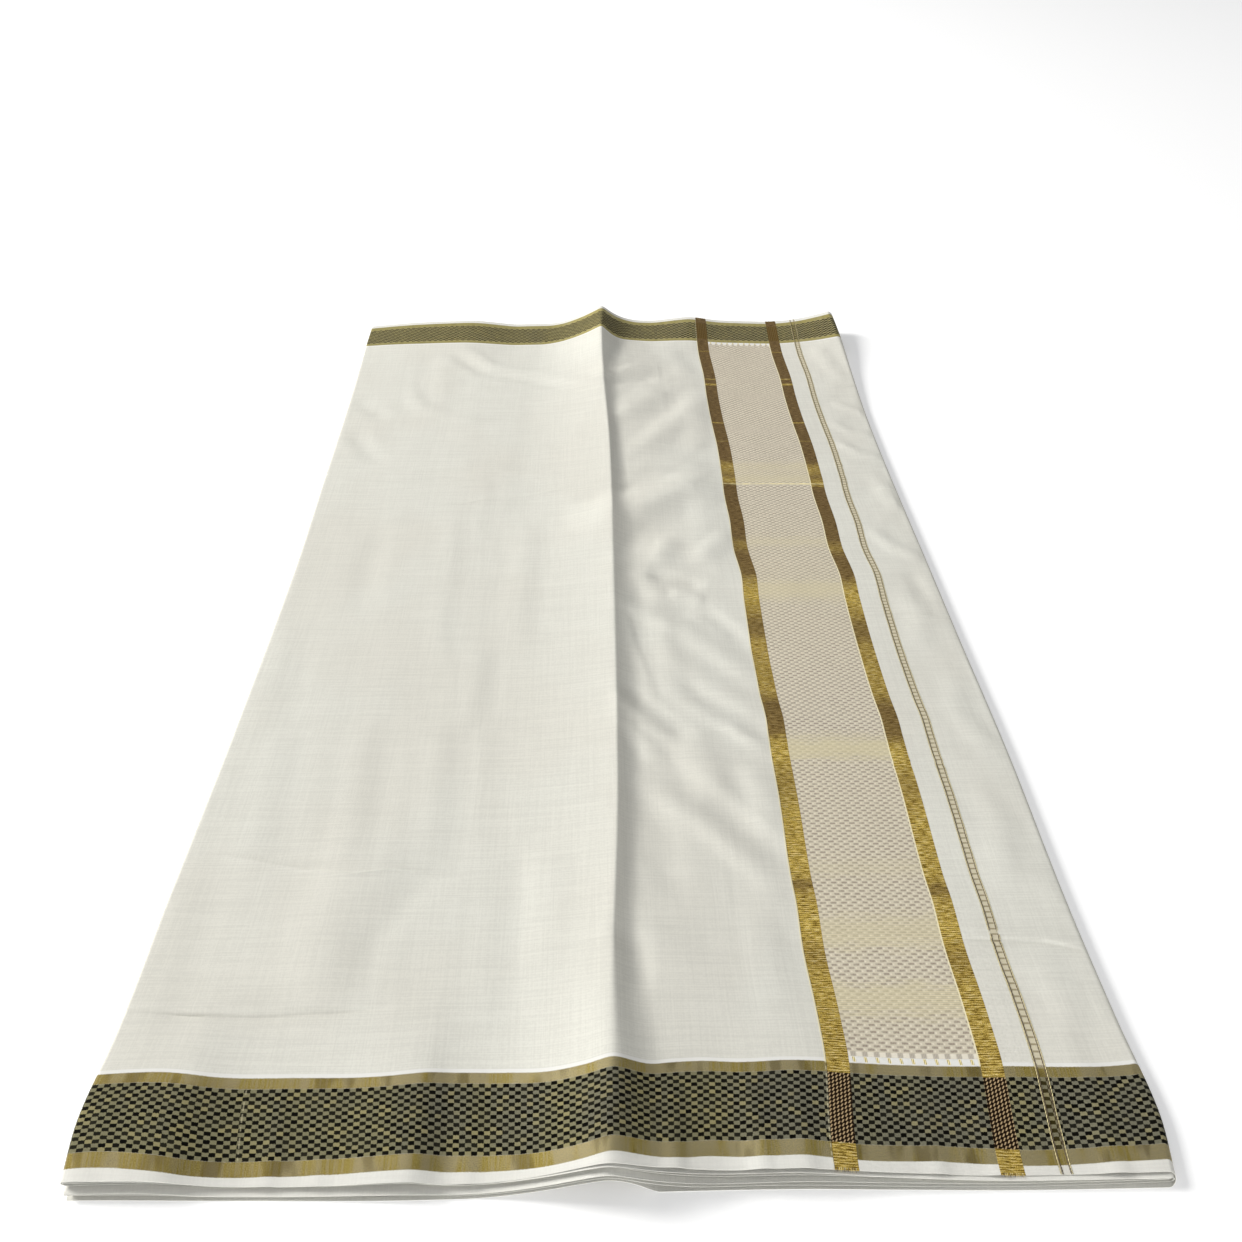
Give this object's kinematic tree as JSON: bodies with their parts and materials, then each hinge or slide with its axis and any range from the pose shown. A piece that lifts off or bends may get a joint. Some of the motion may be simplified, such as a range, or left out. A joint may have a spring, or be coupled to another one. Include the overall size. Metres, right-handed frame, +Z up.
{
  "type": "folded saree",
  "caption": "Off-white saree folded and laid flat, with woven gold and black check borders, a brocade end panel between gold bands, and a raised centre crease.",
  "frame": {"origin": "on the floor under the middle of the folded stack", "axes": "+X along the cloth's length towards the big right fold, +Y from the near selvedge to the far one, +Z up"},
  "size_m": [0.6948, 1.2096, 0.0369],
  "materials": {
    "body_cloth": "matt fine plain weave, off-white, with gold and black check borders",
    "pallu_cloth": "cream brocade between two metallic gold bands",
    "wrapped_cloth": "matt fine plain weave, off-white, with gold and black check borders",
    "inner_cloth": "matt fine plain weave, off-white, folded leaves"
  },
  "bodies": {
    "root": {"body_stretch": "body_cloth", "pallu_stretch": "pallu_cloth", "wrapped_stretch": "wrapped_cloth", "inner_layers": "inner_cloth"}
  },
  "joints": []
}
